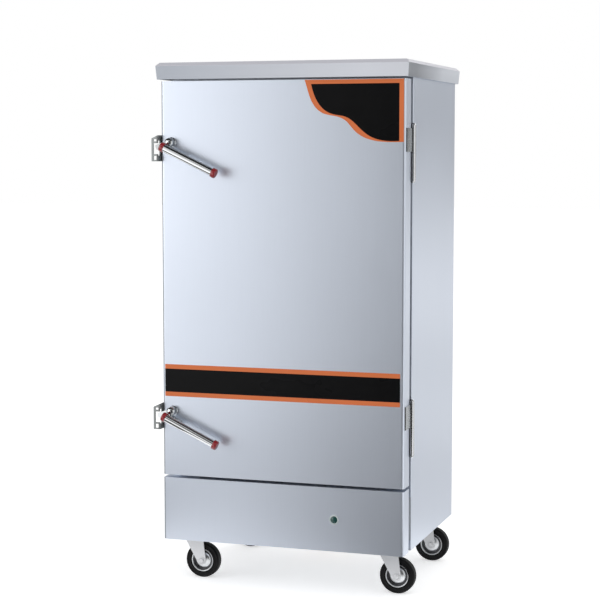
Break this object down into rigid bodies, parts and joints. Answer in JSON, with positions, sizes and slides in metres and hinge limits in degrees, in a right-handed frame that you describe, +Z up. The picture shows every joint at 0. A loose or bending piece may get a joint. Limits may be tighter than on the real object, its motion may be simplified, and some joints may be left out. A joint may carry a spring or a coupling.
{
  "type": "commercial food steamer",
  "caption": "Tall stainless steam cabinet on casters: insulated hinged door with lever latches, tray racks over an electric water tank.",
  "frame": {"origin": "bottom centre of the whole part's box, on the floor under the casters", "axes": "+Z up, +X to the viewer's right facing the door, the door faces -Y"},
  "size_m": [0.732, 0.6478, 1.46],
  "materials": {
    "stainless_skin": "fine vertical brushed stainless",
    "stainless_inner": "mill-finish stainless",
    "frame_steel": "grey painted steel",
    "zinc_steel": "bright zinc plate",
    "polished_steel": "polished",
    "chrome_tube": "mirror chrome",
    "red_cap": "glossy dark red",
    "foam": "rigid foam",
    "silicone": "satin silicone",
    "black_film": "satin black film",
    "orange_film": "satin orange film",
    "lamp_plastic": "pale plastic bezel",
    "green_lens": "dark green lens",
    "valve_brass": "turned brass",
    "lever_paint": "red dipped handle",
    "float_plastic": "moulded float",
    "black_plastic": "moulded black",
    "grey_plastic": "moulded grey",
    "tyre_rubber": "black solid rubber"
  },
  "bodies": {
    "cabinet": {"right_side_panel": "stainless_skin", "left_side_panel": "stainless_skin", "back_panel": "stainless_skin", "top_cover": "stainless_skin", "base_frame": "frame_steel", "floor_pan": "stainless_inner", "front_frame": "stainless_skin", "inner_liner": "stainless_inner", "wall_insulation": "foam", "rack_posts": "stainless_inner", "rack_runners": "stainless_inner", "water_tank": "stainless_inner", "steam_baffle": "stainless_inner", "heating_elements": "stainless_inner", "float_box": "stainless_inner", "float_valve": "valve_brass", "drain_valve": "valve_brass", "steam_vent": "stainless_inner", "cable_gland": "black_plastic", "terminal_block": "grey_plastic", "contactor": "black_plastic", "fascia_panel": "stainless_skin", "fascia_brackets": "stainless_inner", "lamp_housing": "lamp_plastic", "lamp_lens": "green_lens", "hinge_frame_leaves": "polished_steel", "hinge_pins": "polished_steel", "latch_keepers": "polished_steel", "keeper_screws": "polished_steel", "caster_plates": "zinc_steel", "caster_bolts": "zinc_steel"},
    "door": {"door_outer_shell": "stainless_skin", "door_inner_pan": "stainless_inner", "door_insulation": "foam", "door_gasket": "silicone", "hinge_door_leaves": "polished_steel", "corner_panel": "black_film", "band_panel": "black_film", "panel_trim": "orange_film", "latch_bases": "polished_steel"},
    "upper_latch": {"upper_latch_lever": "polished_steel", "upper_grip_tube": "chrome_tube", "upper_end_caps": "red_cap"},
    "lower_latch": {"lower_latch_lever": "polished_steel", "lower_grip_tube": "chrome_tube", "lower_end_caps": "red_cap"},
    "float_arm": {"float": "float_plastic"},
    "drain_handle": {"drain_lever": "lever_paint"},
    "front_left_swivel": {"front_left_fork": "zinc_steel"},
    "front_left_roller": {"front_left_wheel": "zinc_steel", "front_left_tyre": "tyre_rubber"},
    "front_right_swivel": {"front_right_fork": "zinc_steel"},
    "front_right_roller": {"front_right_wheel": "zinc_steel", "front_right_tyre": "tyre_rubber"},
    "rear_left_swivel": {"rear_left_fork": "zinc_steel"},
    "rear_left_roller": {"rear_left_wheel": "zinc_steel", "rear_left_tyre": "tyre_rubber"},
    "rear_right_swivel": {"rear_right_fork": "zinc_steel"},
    "rear_right_roller": {"rear_right_wheel": "zinc_steel", "rear_right_tyre": "tyre_rubber"}
  },
  "joints": [
    {"name": "door_swing", "type": "hinge", "parent": "cabinet", "child": "door", "pos_m": [0.358, -0.2044, 0.839], "axis": [0, 0, 1], "range_deg": [0, 175]},
    {"name": "upper_latch_turn", "type": "hinge", "parent": "door", "child": "upper_latch", "pos_m": [-0.314, -0.2834, 1.241], "axis": [0, -1, 0], "range_deg": [-12, 60]},
    {"name": "lower_latch_turn", "type": "hinge", "parent": "door", "child": "lower_latch", "pos_m": [-0.314, -0.2834, 0.492], "axis": [0, -1, 0], "range_deg": [-12, 60]},
    {"name": "front_left_caster_turn", "type": "hinge", "parent": "cabinet", "child": "front_left_swivel", "pos_m": [-0.283, -0.1754, 0.1105], "axis": [0, 0, 1], "continuous": true},
    {"name": "front_left_wheel_spin", "type": "hinge", "parent": "front_left_swivel", "child": "front_left_roller", "pos_m": [-0.261, -0.1754, 0.05], "axis": [0, 1, 0], "continuous": true},
    {"name": "front_right_caster_turn", "type": "hinge", "parent": "cabinet", "child": "front_right_swivel", "pos_m": [0.293, -0.1754, 0.1105], "axis": [0, 0, 1], "continuous": true},
    {"name": "front_right_wheel_spin", "type": "hinge", "parent": "front_right_swivel", "child": "front_right_roller", "pos_m": [0.315, -0.1754, 0.05], "axis": [0, 1, 0], "continuous": true},
    {"name": "rear_left_caster_turn", "type": "hinge", "parent": "cabinet", "child": "rear_left_swivel", "pos_m": [-0.283, 0.2196, 0.1105], "axis": [0, 0, 1], "continuous": true},
    {"name": "rear_left_wheel_spin", "type": "hinge", "parent": "rear_left_swivel", "child": "rear_left_roller", "pos_m": [-0.261, 0.2196, 0.05], "axis": [0, 1, 0], "continuous": true},
    {"name": "rear_right_caster_turn", "type": "hinge", "parent": "cabinet", "child": "rear_right_swivel", "pos_m": [0.293, 0.2196, 0.1105], "axis": [0, 0, 1], "continuous": true},
    {"name": "rear_right_wheel_spin", "type": "hinge", "parent": "rear_right_swivel", "child": "rear_right_roller", "pos_m": [0.315, 0.2196, 0.05], "axis": [0, 1, 0], "continuous": true},
    {"name": "float_lift", "type": "hinge", "parent": "cabinet", "child": "float_arm", "pos_m": [-0.3107, 0.256, 0.3102], "axis": [-1, 0, 0], "range_deg": [0, 22]},
    {"name": "drain_lever_turn", "type": "hinge", "parent": "cabinet", "child": "drain_handle", "pos_m": [0.005, 0.193, 0.07], "axis": [0, 0, 1], "range_deg": [0, 90]}
  ]
}
